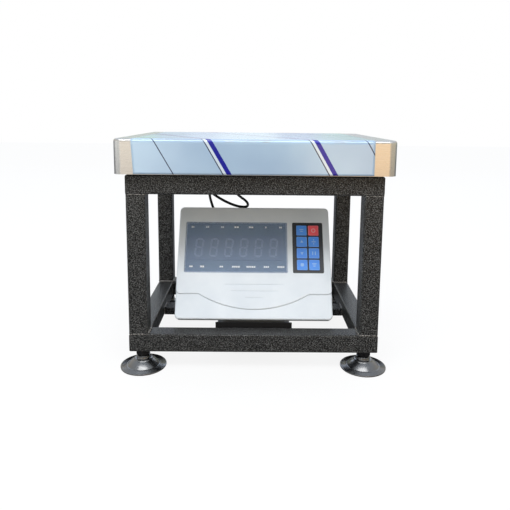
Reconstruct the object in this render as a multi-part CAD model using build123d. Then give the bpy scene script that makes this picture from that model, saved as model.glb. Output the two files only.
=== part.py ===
from build123d import *
import math
import os

os.makedirs("parts", exist_ok=True)

# Millimetres. Origin on the floor under the middle of the frame, +Z up, the front faces -Y.

# Frame of square tube
frame_width = 372.0
frame_depth = 276.0
frame_height = 267.0
tube_size = 28.0
tube_wall = 2.0
tube_corner = 2.5
tube_least_corner = 0.3
crossbar_depth = 28.0
crossbar_height = 13.0
crossbar_wall = 1.5
crossbar_y = 22.0

# Screw feet
foot_height = 28.0
foot_diameter = 69.0
foot_rim_height = 2.4
foot_dome_diameter = 45.0
foot_boss_diameter = 19.0
foot_boss_height = 19.0
foot_edge = 1.0
foot_dome_foot = 4.4
foot_dome_top = 12.0
foot_dome_bulge = 0.5
foot_socket_floor = 4.0
foot_inset_x = 18.0
foot_inset_y = 14.0
stud_diameter = 12.0
stud_length = 44.0
nut_flats = 19.0
nut_height = 8.0
nut_bore_clearance = 0.05
stud_hole_clearance = 0.5
socket_clearance = 0.1

# Weighing pan and its film
pan_width = 400.0
pan_depth = 300.0
pan_skirt = 50.0
pan_sheet = 1.2
pan_corner = 12.0
pan_bend = 4.0
film_thickness = 0.2
film_left = -172.5
film_right = 167.0
film_hem = 0.5

# Load cell, its beam and the frame under the pan
cell_length = 130.0
cell_width = 30.0
cell_height = 22.0
cell_end = 26.0
cell_edge = 0.8
cell_hole_diameter = 14.0
cell_hole_spacing = 26.0
cell_boot_diameter = 8.0
cell_boot_length = 6.0
spacer_thickness = 3.0
cell_bolt_diameter = 6.0
cell_bolt_spacing = 15.0
cell_bolt_depth = 10.0
drill_runout = 1.0
cell_bolt_flats = 10.0
cell_bolt_head = 4.0
access_hole_diameter = 14.0
spider_tube = 20.0
spider_wall = 1.6
spider_corner = 1.5
spine_width = 40.0
arm_spacing = 260.0
arm_length = 244.0
pad_diameter = 24.0
pad_thickness = 2.8
pad_spacing = 210.0
stop_diameter = 8.0
stop_flats = 13.0
stop_head = 5.5
stop_nut_height = 6.0
stop_gap = 0.6
stop_inset = 20.0
fastener_clearance = 0.05

# Indicator housing
housing_width = 246.0
housing_length = 182.0
housing_lean = 28.9
housing_lift = 13.0
housing_corner = 7.0
housing_wall = 2.5
cover_depth = 16.0
cover_edge = 2.5
slab_depth = 34.0
slab_edge = 5.0
step_depth = 2.2
step_edge = 1.76
step_height = 38.6
belly_height = 14.9
belly_width = 174.0
groove_lengths = (94.0, 75.0, 28.0)
groove_top = 53.2
groove_pitch = 10.4
groove_width = 2.0
groove_depth = 0.9
hump_width = 107.0
hump_reach = 110.0
hump_height = 90.0
hump_edge = 5.0
hump_least_edge = 0.5
vent_count = 6
vent_width = 2.0
vent_length = 30.0
vent_pitch = 7.0

# Window, digits and keys
window_width = 165.6
window_height = 83.8
window_x = -29.1
window_y = 114.4
window_ledge = 2.0
recess_corner = 2.0
opening_corner = 1.0
lens_thickness = 1.2
lens_clearance = 0.1
digit_count = 6
digit_pitch = 24.15
digit_width = 15.6
digit_height = 31.2
digit_stroke = 3.0
digit_slant = 6.0
digit_bar_gap = 0.4
digit_side = 1.0
digit_block_margin = 3.0
digit_block_height = 7.5
digit_relief = 0.4
keypad_width = 49.6
keypad_x = 87.0
keypad_ledge = 1.5
panel_thickness = 1.2
key_size = 16.9
key_corner = 1.5
key_edge = 0.35
key_pitch_x = 19.4
key_pitch_y = 19.05
key_rise = 0.5
key_flange = 0.7
key_flange_thickness = 1.0
key_clearance = 0.15
key_travel_gap = 0.5
key_stem_diameter = 5.0
key_stem_length = 3.6
switch_size = 6.0
switch_height = 5.0
switch_plunger = 1.0
board_thickness = 1.6
board_width = 228.0
board_height = 96.0
board_post_diameter = 7.0
board_post_inset = 4.0

# Battery, sockets and cover screws
battery_width = 97.0
battery_depth = 33.0
battery_height = 66.0
battery_clearance = 0.3
battery_edge = 1.5
terminal_width = 5.0
terminal_depth = 8.0
terminal_height = 4.0
socket_diameter = 11.0
socket_bore = 5.5
socket_length = 9.0
socket_rim = 1.5
socket_flange = 14.0
socket_x = 84.0
socket_y = 62.0
screw_diameter = 3.0
screw_head_diameter = 6.0
screw_head_height = 2.4
screw_recess = 3.0
screw_recess_clearance = 0.2
screw_cross_length = 3.4
screw_cross_width = 0.8
screw_boss_diameter = 8.0
screw_boss_gap = 0.1
screw_grip = 8.0
screw_inset_x = 10.0
screw_low = 16.0
screw_high = 171.0

# Tilting bracket and knobs
bracket_width = 118.0
bracket_sheet = 2.5
bracket_rise = 7.5
ear_width = 28.0
pivot_reach = 95.0
pivot_lift = 36.0
pivot_boss_diameter = 16.0
pivot_gap = 0.2
knob_gap = 0.1
knob_diameter = 24.0
knob_thickness = 12.0
knob_lobes = 6
knob_lobe_radius = 3.24
knob_edge = 3.9
knob_stud_diameter = 5.0
knob_stud_grip = 8.0
bracket_screw_diameter = 5.0
bracket_screw_head = 3.0
bracket_screw_flats = 8.0
bracket_screw_spacing = 80.0
bracket_screw_inset = 7.0
bracket_screw_end = 3.0

# Load cell cable: points of its route from the load cell to the gland
cable_diameter = 4.5
cable_turn_share = 0.45
cable_route = [
    (-71, 0, 309),
    (-85, 0, 309),
    (-96, 4, 297),
    (-97, 10, 278),
    (-88, 16, 259),
    (-70, 18, 243),
    (-48, 18, 230),
    (-27, 20, 222),
    (-11, 30, 220),
    (-12, 50, 226),
    (-31, 55, 238),
    (-40, 49, 253),
    (-49, 44.5, 262),
    (-69, 43, 262),
    (-79, 44, 254),
    (-81, 44, 240),
    (-75, 44, 218),
    (-65, 46, 194),
    (-52, 50, 172),
    (-36, 51, 154),
    (-21, 46, 143),
    (-15, 33, 138.5),
    (-15, 20, 138.5),
]
clip_wall = 1.2
clip_length = 6.0
clip_tab = 14.0
gland_nut_length = 6.0
gland_tip_diameter = 7.5
gland_thread = 9.0
gland_flats = 12.0
gland_shoulder = 0.5
gland_lock_nut = 3.0
gland_thread_end = 1.0

# Levels and places that follow from the sizes above
ring_top = foot_height + tube_size
frame_top = foot_height + frame_height
post_length = frame_height - 2 * tube_size
rail_x = frame_width / 2 - tube_size / 2
rail_y = frame_depth / 2 - tube_size / 2
foot_x = frame_width / 2 - foot_inset_x
foot_y = frame_depth / 2 - foot_inset_y
cell_bottom = frame_top + spacer_thickness
cell_top = cell_bottom + cell_height
cell_end_x = cell_length / 2 - cell_end / 2
beam_y_length = frame_depth - 2 * tube_size
spider_bottom = cell_top + spacer_thickness
spider_top = spider_bottom + spider_tube
pan_top = spider_top + pad_thickness + pan_sheet
pan_bottom = pan_top - pan_skirt
stop_y = frame_depth / 2 - stop_inset
face_y = -frame_depth / 2 + tube_size
face_z = ring_top + housing_lift
lean_sin = math.sin(math.radians(housing_lean))
lean_cos = math.cos(math.radians(housing_lean))
underside_z = face_z - cover_depth * lean_sin
hump_back_y = face_y + hump_reach
pivot_y = face_y + pivot_reach
pivot_z = ring_top + pivot_lift
bracket_bottom = foot_height + crossbar_height
crossbar_back_y = crossbar_y + crossbar_depth / 2
web_screw_z = ring_top - bracket_screw_inset
key_panel_back = -panel_thickness
key_flange_front = key_panel_back - lens_clearance
key_stem_end = key_flange_front - key_flange_thickness - key_stem_length
board_front = key_stem_end - key_travel_gap - switch_height

face_plane = Plane(origin=(0, face_y, face_z), x_dir=(1, 0, 0), z_dir=(0, -lean_cos, lean_sin))
corners = [(sx, sy) for sx in (-1, 1) for sy in (-1, 1)]


def hexagon_prism(flats, height):
    """Hexagon along Z with its corners turned off at both ends, a corner to the front."""
    corner = flats / math.sqrt(3)
    turned = round_bar(2 * corner, height)
    turned = chamfer(turned.edges().filter_by(GeomType.CIRCLE), corner - flats / 2)
    return extrude(RegularPolygon(flats / 2, 6, major_radius=False, rotation=30), height) & turned


def bolt(diameter, length, flats, head):
    """Hex bolt along Z: shank from 0 down, head from 0 up."""
    shank = Pos(0, 0, -length / 2) * Cylinder(diameter / 2, length)
    return hexagon_prism(flats, head) + shank


def round_bar(diameter, length):
    return extrude(Circle(diameter / 2), length)


def square_tube(length, width, height, wall, corner):
    """Tube along X, centred on the origin."""
    outer = RectangleRounded(width, height, corner)
    inner = RectangleRounded(width - 2 * wall, height - 2 * wall, max(corner - wall, tube_least_corner))
    return extrude(Plane.YZ * (outer - inner), length / 2, both=True)


def mitred_rail(length, x, y, z, turn):
    """Rail of a mitred ring; before it is turned its outer side faces -Y."""
    tube = square_tube(length, tube_size, tube_size, tube_wall, tube_corner)
    half = length / 2
    side = tube_size / 2
    corner_points = [(-half, -side), (half, -side), (half - tube_size, side), (-half + tube_size, side)]
    mitre = extrude(make_face(Polyline(*corner_points, close=True)), tube_size, both=True)
    return Pos(x, y, z) * (Rot(0, 0, turn) * (tube & mitre))


def ring(z):
    """The four mitred rails of one ring, by their side."""
    return {
        "front": mitred_rail(frame_width, 0, -rail_y, z, 0),
        "right": mitred_rail(frame_depth, rail_x, 0, z, 90),
        "rear": mitred_rail(frame_width, 0, rail_y, z, 180),
        "left": mitred_rail(frame_depth, -rail_x, 0, z, 270),
    }


def stop_bolt_holes():
    holes = [
        Pos(sx * arm_spacing / 2, sy * stop_y, frame_top)
        * Cylinder(stop_diameter / 2 + fastener_clearance, 3 * tube_wall)
        for sx, sy in corners
    ]
    return Compound(holes)


def foot_holes():
    radius = stud_diameter / 2 + stud_hole_clearance
    hole = Cylinder(radius, 3 * tube_wall)
    return Compound([Pos(sx * foot_x, sy * foot_y, foot_height) * hole for sx, sy in corners])


def bracket_web_holes():
    """Pilot holes in the back wall of the front rail."""
    radius = bracket_screw_diameter / 2 + fastener_clearance
    hole = Rot(90, 0, 0) * Cylinder(radius, 3 * tube_wall)
    half = bracket_screw_spacing / 2
    return Compound([Pos(sx * half, face_y, web_screw_z) * hole for sx in (-1, 1)])


def bracket_base_holes():
    """Pilot holes in the top wall of the crossbar."""
    radius = bracket_screw_diameter / 2 + fastener_clearance
    hole = Cylinder(radius, 3 * crossbar_wall)
    half = bracket_screw_spacing / 2
    return Compound([Pos(sx * half, crossbar_y, bracket_bottom) * hole for sx in (-1, 1)])


def frame_parts():
    parts = {}
    for side, rail in ring(frame_top - tube_size / 2).items():
        parts["top_rail_" + side] = rail
    for side in ("front", "rear"):
        parts["top_rail_" + side] -= stop_bolt_holes()
    for side, rail in ring(foot_height + tube_size / 2).items():
        parts["bottom_rail_" + side] = rail - foot_holes()
    parts["bottom_rail_front"] -= bracket_web_holes()
    for depth_name, sy in (("front", -1), ("rear", 1)):
        for side_name, sx in (("left", -1), ("right", 1)):
            post = Rot(0, 90, 0) * square_tube(post_length, tube_size, tube_size, tube_wall, tube_corner)
            place = Pos(sx * rail_x, sy * rail_y, ring_top + post_length / 2)
            parts["post_" + depth_name + "_" + side_name] = place * post
    bar_length = frame_width - 2 * tube_size
    bar = square_tube(bar_length, crossbar_depth, crossbar_height, crossbar_wall, crossbar_wall)
    bar = Pos(0, crossbar_y, foot_height + crossbar_height / 2) * bar
    parts["lower_crossbar"] = bar - bracket_base_holes()
    return parts


def nut(diameter, flats, height):
    return hexagon_prism(flats, height) - round_bar(diameter + 2 * nut_bore_clearance, height)


def foot_pad():
    """One pressed foot, round its own axis, standing on the floor."""
    rim = foot_diameter / 2
    dome = foot_dome_diameter / 2
    boss = foot_boss_diameter / 2
    crown = ((dome + boss) / 2 + foot_dome_bulge, (foot_dome_foot + foot_dome_top) / 2 + foot_dome_bulge)
    outline = [
        Line((0, 0), (rim - foot_edge, 0)),
        Line((rim - foot_edge, 0), (rim, foot_edge)),
        Line((rim, foot_edge), (rim, foot_rim_height)),
        Line((rim, foot_rim_height), (dome, foot_dome_foot)),
        ThreePointArc((dome, foot_dome_foot), crown, (boss, foot_dome_top)),
        Line((boss, foot_dome_top), (boss, foot_boss_height)),
        Line((boss, foot_boss_height), (0, foot_boss_height)),
        Line((0, foot_boss_height), (0, 0)),
    ]
    body = revolve(Plane.XZ * make_face(outline), Axis.Z)
    socket = round_bar(stud_diameter + 2 * nut_bore_clearance, foot_boss_height)
    return body - Pos(0, 0, foot_socket_floor) * socket


def foot_parts():
    parts = {}
    nuts = []
    names = {-1: ("front", "left"), 1: ("rear", "right")}
    for sx, sy in corners:
        tag = names[sy][0] + "_" + names[sx][1]
        place = Pos(sx * foot_x, sy * foot_y, 0)
        stud_start = foot_socket_floor + socket_clearance
        parts["foot_pad_" + tag] = place * foot_pad()
        parts["foot_stud_" + tag] = place * (Pos(0, 0, stud_start) * round_bar(stud_diameter, stud_length))
        jam_nut = Pos(0, 0, foot_height - nut_height) * nut(stud_diameter, nut_flats, nut_height)
        weld_nut = Pos(0, 0, foot_height + tube_wall) * nut(stud_diameter, nut_flats, nut_height)
        nuts += [place * jam_nut, place * weld_nut]
    parts["foot_nuts"] = Compound(nuts)
    return parts


def load_cell():
    """Bending block with two joined holes through its middle."""
    block = Box(cell_length, cell_width, cell_height)
    block = fillet(block.edges().filter_by(Axis.X), cell_edge)
    radius = cell_hole_diameter / 2
    for sx in (-1, 1):
        block -= Pos(sx * cell_hole_spacing / 2, 0, 0) * (Rot(90, 0, 0) * Cylinder(radius, 2 * cell_width))
    block -= Box(cell_hole_spacing, 2 * cell_width, cell_hole_diameter / 2)
    boot = Rot(0, -90, 0) * round_bar(cell_boot_diameter, cell_boot_length)
    block += Pos(-cell_length / 2, 0, 0) * boot
    hole_radius = cell_bolt_diameter / 2 + fastener_clearance
    hole_depth = cell_bolt_depth + drill_runout
    hole = Cylinder(hole_radius, hole_depth)
    for sy in (-1, 1):
        y = sy * cell_bolt_spacing / 2
        z = cell_height / 2 - hole_depth / 2
        block -= Pos(-cell_end_x, y, -z) * hole
        block -= Pos(cell_end_x, y, z) * hole
    return Pos(0, 0, cell_bottom + cell_height / 2) * block


def cell_spacer(x, z):
    plate = Pos(x, 0, z + spacer_thickness / 2) * Box(cell_end, cell_width, spacer_thickness)
    return plate - cell_bolt_holes(x, z + spacer_thickness / 2, 2 * spacer_thickness, cell_bolt_diameter)


def cell_bolt_holes(x, z, length, diameter):
    radius = diameter / 2 + fastener_clearance
    holes = [Pos(x, sy * cell_bolt_spacing / 2, z) * Cylinder(radius, length) for sy in (-1, 1)]
    return Compound(holes)


def load_cell_parts():
    beam = Rot(0, 0, 90) * square_tube(beam_y_length, tube_size, tube_size, tube_wall, tube_corner)
    beam = Pos(-cell_end_x, 0, frame_top - tube_size / 2) * beam
    beam -= cell_bolt_holes(-cell_end_x, frame_top, 3 * tube_wall, cell_bolt_diameter)
    beam -= cell_bolt_holes(-cell_end_x, frame_top - tube_size, 3 * tube_wall, access_hole_diameter)
    head_seat = frame_top - tube_wall
    shank = tube_wall + spacer_thickness + cell_bolt_depth
    lower = bolt(cell_bolt_diameter, shank, cell_bolt_flats, cell_bolt_head)
    lower = [
        Pos(-cell_end_x, sy * cell_bolt_spacing / 2, head_seat) * (Rot(180, 0, 0) * lower) for sy in (-1, 1)
    ]
    upper_seat = spider_bottom + spider_wall
    upper_shank = spider_wall + spacer_thickness + cell_bolt_depth
    upper = bolt(cell_bolt_diameter, upper_shank, cell_bolt_flats, cell_bolt_head)
    upper = [Pos(cell_end_x, sy * cell_bolt_spacing / 2, upper_seat) * upper for sy in (-1, 1)]
    return {
        "load_cell_beam": beam,
        "load_cell": load_cell(),
        "cell_spacer_lower": cell_spacer(-cell_end_x, frame_top),
        "cell_spacer_upper": cell_spacer(cell_end_x, cell_top),
        "cell_bolts_lower": Compound(lower),
        "cell_bolts_upper": Compound(upper),
    }


def spider_parts():
    """The welded H of tube that carries the pan on the free end of the load cell."""
    mid_z = spider_bottom + spider_tube / 2
    spine_length = arm_spacing - spider_tube
    spine = square_tube(spine_length, spine_width, spider_tube, spider_wall, spider_corner)
    spine = Pos(0, 0, mid_z) * spine
    spine -= cell_bolt_holes(cell_end_x, spider_bottom, 3 * spider_wall, cell_bolt_diameter)
    spine -= cell_bolt_holes(cell_end_x, spider_top, 3 * spider_wall, access_hole_diameter)
    parts = {"spider_spine": spine}
    arm = Rot(0, 0, 90) * square_tube(arm_length, spider_tube, spider_tube, spider_wall, spider_corner)
    for name, sx in (("left", -1), ("right", 1)):
        parts["spider_arm_" + name] = Pos(sx * arm_spacing / 2, 0, mid_z) * arm
    pads = [
        Pos(sx * arm_spacing / 2, sy * pad_spacing / 2, spider_top) * round_bar(pad_diameter, pad_thickness)
        for sx, sy in corners
    ]
    parts["pan_pads"] = Compound(pads)
    return parts


def overload_stops():
    """Four bolts on the top ring; the spider arms land on their heads when overloaded."""
    head_seat = spider_bottom - stop_gap - stop_head
    shank = head_seat - frame_top + 2 * tube_wall
    stop = Pos(0, 0, head_seat) * bolt(stop_diameter, shank, stop_flats, stop_head)
    stop += Pos(0, 0, frame_top) * hexagon_prism(stop_flats, stop_nut_height)
    return Compound([Pos(sx * arm_spacing / 2, sy * stop_y, 0) * stop for sx, sy in corners])


def tray(width, depth, height, corner, bend, bottom):
    """Solid with the outline of a tray standing upside down."""
    body = extrude(RectangleRounded(width, depth, corner), height)
    body = fillet(body.faces().sort_by(Axis.Z)[-1].edges(), bend)
    return Pos(0, 0, bottom) * body


def pan_parts():
    outer = tray(pan_width, pan_depth, pan_skirt, pan_corner, pan_bend, pan_bottom)
    inner = tray(
        pan_width - 2 * pan_sheet,
        pan_depth - 2 * pan_sheet,
        pan_skirt - pan_sheet,
        pan_corner - pan_sheet,
        pan_bend - pan_sheet,
        pan_bottom,
    )
    film = tray(
        pan_width + 2 * film_thickness,
        pan_depth + 2 * film_thickness,
        pan_skirt + film_thickness,
        pan_corner + film_thickness,
        pan_bend + film_thickness,
        pan_bottom,
    )
    band_width = film_right - film_left
    band_height = pan_skirt - film_hem + pan_bend
    band = Box(band_width, 2 * pan_depth, band_height)
    band = Pos((film_left + film_right) / 2, 0, pan_bottom + film_hem + band_height / 2) * band
    return {"weighing_pan": outer - inner, "protective_film": (film - outer) & band}


def on_face(shape):
    """Moves a shape drawn on the flat face of the housing to its place on the scale."""
    return face_plane.location * shape


def face_rectangle(width, height, corner, x, y):
    return Pos(x, y) * RectangleRounded(width, height, corner)


def slab(inset, start, end):
    """Rounded block of the housing's outline between two depths, inset from its sides."""
    outline = face_rectangle(
        housing_width - 2 * inset,
        housing_length - 2 * inset,
        housing_corner - inset,
        0,
        housing_length / 2,
    )
    return Pos(0, 0, start) * extrude(outline, end - start)


def raised_outline():
    """Upper part of the face, down to the curved step."""
    half = housing_width / 2
    corner = housing_corner
    top = housing_length
    belly = belly_width / 2
    bend = corner * (1 - math.sqrt(0.5))
    return make_face(
        [
            Line((-belly, step_height), (-half + corner, step_height)),
            ThreePointArc(
                (-half + corner, step_height),
                (-half + bend, step_height + bend),
                (-half, step_height + corner),
            ),
            Line((-half, step_height + corner), (-half, top - corner)),
            ThreePointArc((-half, top - corner), (-half + bend, top - bend), (-half + corner, top)),
            Line((-half + corner, top), (half - corner, top)),
            ThreePointArc((half - corner, top), (half - bend, top - bend), (half, top - corner)),
            Line((half, top - corner), (half, step_height + corner)),
            ThreePointArc(
                (half, step_height + corner),
                (half - bend, step_height + bend),
                (half - corner, step_height),
            ),
            Line((half - corner, step_height), (belly, step_height)),
            ThreePointArc((belly, step_height), (0, belly_height), (-belly, step_height)),
        ]
    )


def key_centres():
    """Places of the eight keys, from the top left to the bottom right."""
    return [
        (keypad_x + (column - 0.5) * key_pitch_x, window_y + (1.5 - row) * key_pitch_y)
        for row in range(4)
        for column in range(2)
    ]


def screw_places():
    x = housing_width / 2 - screw_inset_x
    return [(sx * x, y) for sx in (-1, 1) for y in (screw_low, screw_high)]


def board_post_places():
    x = board_width / 2 - board_post_inset
    y = board_height / 2 - board_post_inset
    return [(sx * x, window_y + sy * y) for sx, sy in corners]


def front_cover():
    """Front shell of the housing, with its curved step, grooves and two recesses."""
    low = slab(0, -cover_depth, -step_depth)
    low = fillet(low.faces().sort_by(Axis.Z)[-1].edges(), cover_edge)
    high = Pos(0, 0, -2 * cover_edge) * extrude(raised_outline(), 2 * cover_edge)
    high = fillet(high.faces().sort_by(Axis.Z)[-1].edges(), step_edge)
    cover = low + high
    cover -= slab(housing_wall, -cover_depth, -step_depth - housing_wall)
    deep_width = housing_width - 2 * housing_wall - 2 * recess_corner
    deep_low = step_height + housing_corner
    deep_height = housing_length - housing_wall - recess_corner - deep_low
    deep = face_rectangle(deep_width, deep_height, recess_corner, 0, deep_low + deep_height / 2)
    cover -= Pos(0, 0, -step_depth - housing_wall - drill_runout) * extrude(deep, step_depth + drill_runout)
    for width, x, ledge, depth in (
        (window_width, window_x, window_ledge, lens_thickness),
        (keypad_width, keypad_x, keypad_ledge, panel_thickness),
    ):
        recess_width = width + 2 * lens_clearance
        recess_height = window_height + 2 * lens_clearance
        recess = face_rectangle(recess_width, recess_height, recess_corner, x, window_y)
        opening = face_rectangle(width - 2 * ledge, window_height - 2 * ledge, opening_corner, x, window_y)
        cover -= Pos(0, 0, -depth) * extrude(recess, 2 * depth)
        cover -= Pos(0, 0, -cover_depth) * extrude(opening, 2 * cover_depth)
    for index, length in enumerate(groove_lengths):
        groove = Pos(0, groove_top - index * groove_pitch) * SlotOverall(length, groove_width)
        cover -= Pos(0, 0, -groove_depth) * extrude(groove, 2 * groove_depth)
    for x, y in board_post_places():
        cover += Pos(x, y, board_front) * round_bar(board_post_diameter, -board_front - step_depth)
    for x, y in screw_places():
        boss = round_bar(screw_boss_diameter, cover_depth - step_depth - screw_boss_gap)
        cover += Pos(x, y, -cover_depth) * boss
        pilot = round_bar(screw_diameter + 2 * fastener_clearance, screw_grip + drill_runout)
        cover -= Pos(x, y, -cover_depth) * pilot
    return on_face(cover)


def above_underside(shape, lift):
    """Keeps what lies above the level underside of the housing."""
    reach = 2 * housing_width
    keep = Pos(0, 0, underside_z + lift + reach / 2) * Box(reach, 2 * reach, reach)
    return shape & keep


def hump(inset):
    """Battery compartment on the back, inset from its sides."""
    width = hump_width - 2 * inset
    front_y = face_y + slab_depth * lean_cos - inset
    back_y = hump_back_y - inset
    height = hump_height - inset
    body = Box(width, back_y - front_y, height)
    edges = body.edges().filter_by(Axis.Z).group_by(Axis.Y)[-1] + body.edges().filter_by(Axis.X).sort_by(
        lambda edge: edge.center().Y + edge.center().Z
    )[-1:]
    body = fillet(edges, max(hump_edge - inset, hump_least_edge))
    return Pos(0, (front_y + back_y) / 2, underside_z + height / 2) * body


def rear_cover():
    """Back shell of the housing, with the battery compartment and its pivot bosses."""
    outer_slab = slab(0, -slab_depth, -cover_depth)
    outer_slab = fillet(outer_slab.faces().sort_by(Axis.Z)[0].edges(), slab_edge)
    inner_slab = slab(housing_wall, -slab_depth + housing_wall, -cover_depth)
    hump_front = on_face(slab(housing_wall, -slab_depth - hump_reach, -slab_depth + housing_wall))
    outer = above_underside(on_face(outer_slab) + (hump(0) & hump_front), 0)
    inner = above_underside(on_face(inner_slab) + (hump(housing_wall) & hump_front), housing_wall)
    shell = outer - inner
    for x, y in screw_places():
        column = round_bar(screw_boss_diameter, slab_depth - cover_depth - housing_wall / 2)
        column = Pos(x, y, -slab_depth + housing_wall / 2) * column
        hole = Pos(x, y, -slab_depth) * round_bar(screw_diameter + 2 * fastener_clearance, slab_depth)
        recess = round_bar(screw_head_diameter + 2 * screw_recess_clearance, screw_recess)
        recess = Pos(x, y, -slab_depth) * recess
        shell = (shell + on_face(column)) - on_face(hole) - on_face(recess)
    for sx in (-1, 1):
        boss_start = hump_width / 2 - housing_wall - drill_runout
        boss_end = bracket_width / 2 - bracket_sheet - pivot_gap
        boss = Pos(0, 0, boss_start) * round_bar(pivot_boss_diameter, boss_end - boss_start)
        bore = round_bar(knob_stud_diameter + 2 * fastener_clearance, housing_width)
        bore = Pos(0, 0, boss_start - drill_runout) * bore
        turn = Pos(0, pivot_y, pivot_z) * Rot(0, sx * 90, 0)
        shell = (shell + turn * boss) - turn * bore
    vent = extrude(SlotOverall(vent_length, vent_width, 90), 2 * slab_depth)
    for sx in (-1, 1):
        for index in range(vent_count):
            x = sx * (hump_width / 2 + screw_inset_x + index * vent_pitch)
            y = window_y + vent_length / 2
            shell -= on_face(Pos(x, y, -slab_depth - cover_depth) * vent) & on_face(
                slab(housing_wall, -slab_depth - drill_runout, -slab_depth + housing_wall + drill_runout)
            )
    shell -= on_face(
        Pos(socket_x, socket_y, -slab_depth - drill_runout)
        * round_bar(socket_diameter + 2 * fastener_clearance, housing_wall + 2 * drill_runout)
    )
    gland_hole = round_bar(gland_thread + 2 * fastener_clearance, 3 * housing_wall)
    shell -= gland_place() * (Pos(0, 0, -2 * housing_wall) * gland_hole)
    return shell


def gland_place():
    """Place of the cable gland on the back of the battery compartment, its axis along +Y."""
    tip = cable_route[-1]
    return Pos(tip[0], hump_back_y, tip[2]) * Rot(-90, 0, 0)


def cable_gland():
    gland_length = cable_route[-1][1] - hump_back_y
    nut_body = hexagon_prism(gland_flats, gland_nut_length)
    cap = Pos(0, 0, gland_nut_length) * Cone(
        gland_flats / 2 - gland_shoulder,
        gland_tip_diameter / 2,
        gland_length - gland_nut_length,
        align=(Align.CENTER, Align.CENTER, Align.MIN),
    )
    thread_length = housing_wall + gland_lock_nut + gland_thread_end
    thread = Pos(0, 0, -thread_length) * round_bar(gland_thread, thread_length)
    inner_nut = Pos(0, 0, -housing_wall - gland_lock_nut) * hexagon_prism(gland_flats, gland_lock_nut)
    return gland_place() * (nut_body + cap + thread + inner_nut)


def display_lens():
    outline = face_rectangle(window_width, window_height, recess_corner, window_x, window_y)
    return on_face(Pos(0, 0, -lens_thickness) * extrude(outline, lens_thickness))


def segment(x, y, length, turn):
    """One long hexagonal bar of a digit."""
    half = length / 2 - digit_bar_gap
    point = digit_stroke / 2
    outline = [
        (-half, 0),
        (-half + point, point),
        (half - point, point),
        (half, 0),
        (half - point, -point),
        (-half + point, -point),
    ]
    return Pos(x, y) * (Rot(0, 0, turn) * make_face(Polyline(*outline, close=True)))


def digit_segments():
    """The seven bars of one digit, upright, round its own centre."""
    width = digit_width - digit_stroke - 2 * digit_side
    half = (digit_height - digit_stroke) / 2
    bars = [segment(0, step * half, width, 0) for step in (-1, 0, 1)]
    bars += [segment(sx * width / 2, sy * half / 2, half, 90) for sx, sy in corners]
    return bars


def digit_display():
    """Block of unlit digits in front of the board; each bar is a shallow window."""
    block_width = digit_count * digit_pitch + 2 * digit_block_margin
    block_height = digit_height + 3 * digit_block_margin
    block = face_rectangle(block_width, block_height, opening_corner, window_x, window_y)
    body = Pos(0, 0, board_front) * extrude(block, digit_block_height)
    front = board_front + digit_block_height
    for index in range(digit_count):
        x = window_x + (index - (digit_count - 1) / 2) * digit_pitch
        for bar in digit_segments():
            turned = Pos(x, window_y) * (Rot(0, 0, -digit_slant) * bar)
            body -= Pos(0, 0, front - digit_relief) * extrude(turned, 2 * digit_relief)
    return on_face(body)


def main_board():
    board = face_rectangle(board_width, board_height, recess_corner, 0, window_y)
    body = Pos(0, 0, board_front - board_thickness) * extrude(board, board_thickness)
    for x, y in key_centres():
        case = extrude(Rectangle(switch_size, switch_size), switch_height - switch_plunger)
        body += Pos(x, y, board_front) * case
        body += Pos(x, y, board_front) * round_bar(switch_size / 2, switch_height)
    return on_face(body)


def keypad_panel():
    outline = face_rectangle(keypad_width, window_height, recess_corner, keypad_x, window_y)
    panel = Pos(0, 0, key_panel_back) * extrude(outline, panel_thickness)
    for x, y in key_centres():
        hole_size = key_size + 2 * key_clearance
        hole = face_rectangle(hole_size, hole_size, key_corner, x, y)
        panel -= Pos(0, 0, -2 * panel_thickness) * extrude(hole, 3 * panel_thickness)
    return on_face(panel)


def key(x, y):
    """One key: a cap in the panel's window, a flange behind it and a stem to its switch."""
    cap_height = key_rise - key_flange_front
    cap = face_rectangle(key_size, key_size, key_corner, x, y)
    body = Pos(0, 0, key_flange_front) * extrude(cap, cap_height)
    body = fillet(body.faces().sort_by(Axis.Z)[-1].edges(), key_edge)
    flange_size = key_size + 2 * key_flange
    flange = face_rectangle(flange_size, flange_size, key_corner, x, y)
    body += Pos(0, 0, key_flange_front - key_flange_thickness) * extrude(flange, key_flange_thickness)
    body += Pos(x, y, key_stem_end) * round_bar(key_stem_diameter, key_stem_length + key_flange_thickness)
    return on_face(body)


def battery():
    body = Box(battery_width, battery_depth, battery_height)
    body = fillet(body.edges().filter_by(Axis.Z), battery_edge)
    for sx in (-1, 1):
        terminal = Box(terminal_width, terminal_depth, terminal_height)
        body += Pos(sx * battery_width / 3, 0, (battery_height + terminal_height) / 2) * terminal
    y = hump_back_y - housing_wall - battery_clearance - battery_depth / 2
    return Pos(0, y, underside_z + housing_wall + battery_clearance + battery_height / 2) * body


def charging_socket():
    body = Pos(0, 0, -socket_rim) * round_bar(socket_flange, socket_rim)
    body += round_bar(socket_diameter, socket_length)
    body -= Pos(0, 0, -socket_rim) * round_bar(socket_bore, socket_length)
    return on_face(Pos(socket_x, socket_y, -slab_depth) * body)


def cover_screws():
    length = slab_depth - screw_recess - cover_depth + screw_grip
    shank = round_bar(screw_diameter, length)
    head = Pos(0, 0, -screw_head_height) * round_bar(screw_head_diameter, screw_head_height)
    cross = Box(screw_cross_length, screw_cross_width, screw_head_height)
    cross += Box(screw_cross_width, screw_cross_length, screw_head_height)
    screw = (shank + head) - Pos(0, 0, -screw_head_height) * cross
    seat = -slab_depth + screw_recess
    return Compound([on_face(Pos(x, y, seat) * screw) for x, y in screw_places()])


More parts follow.
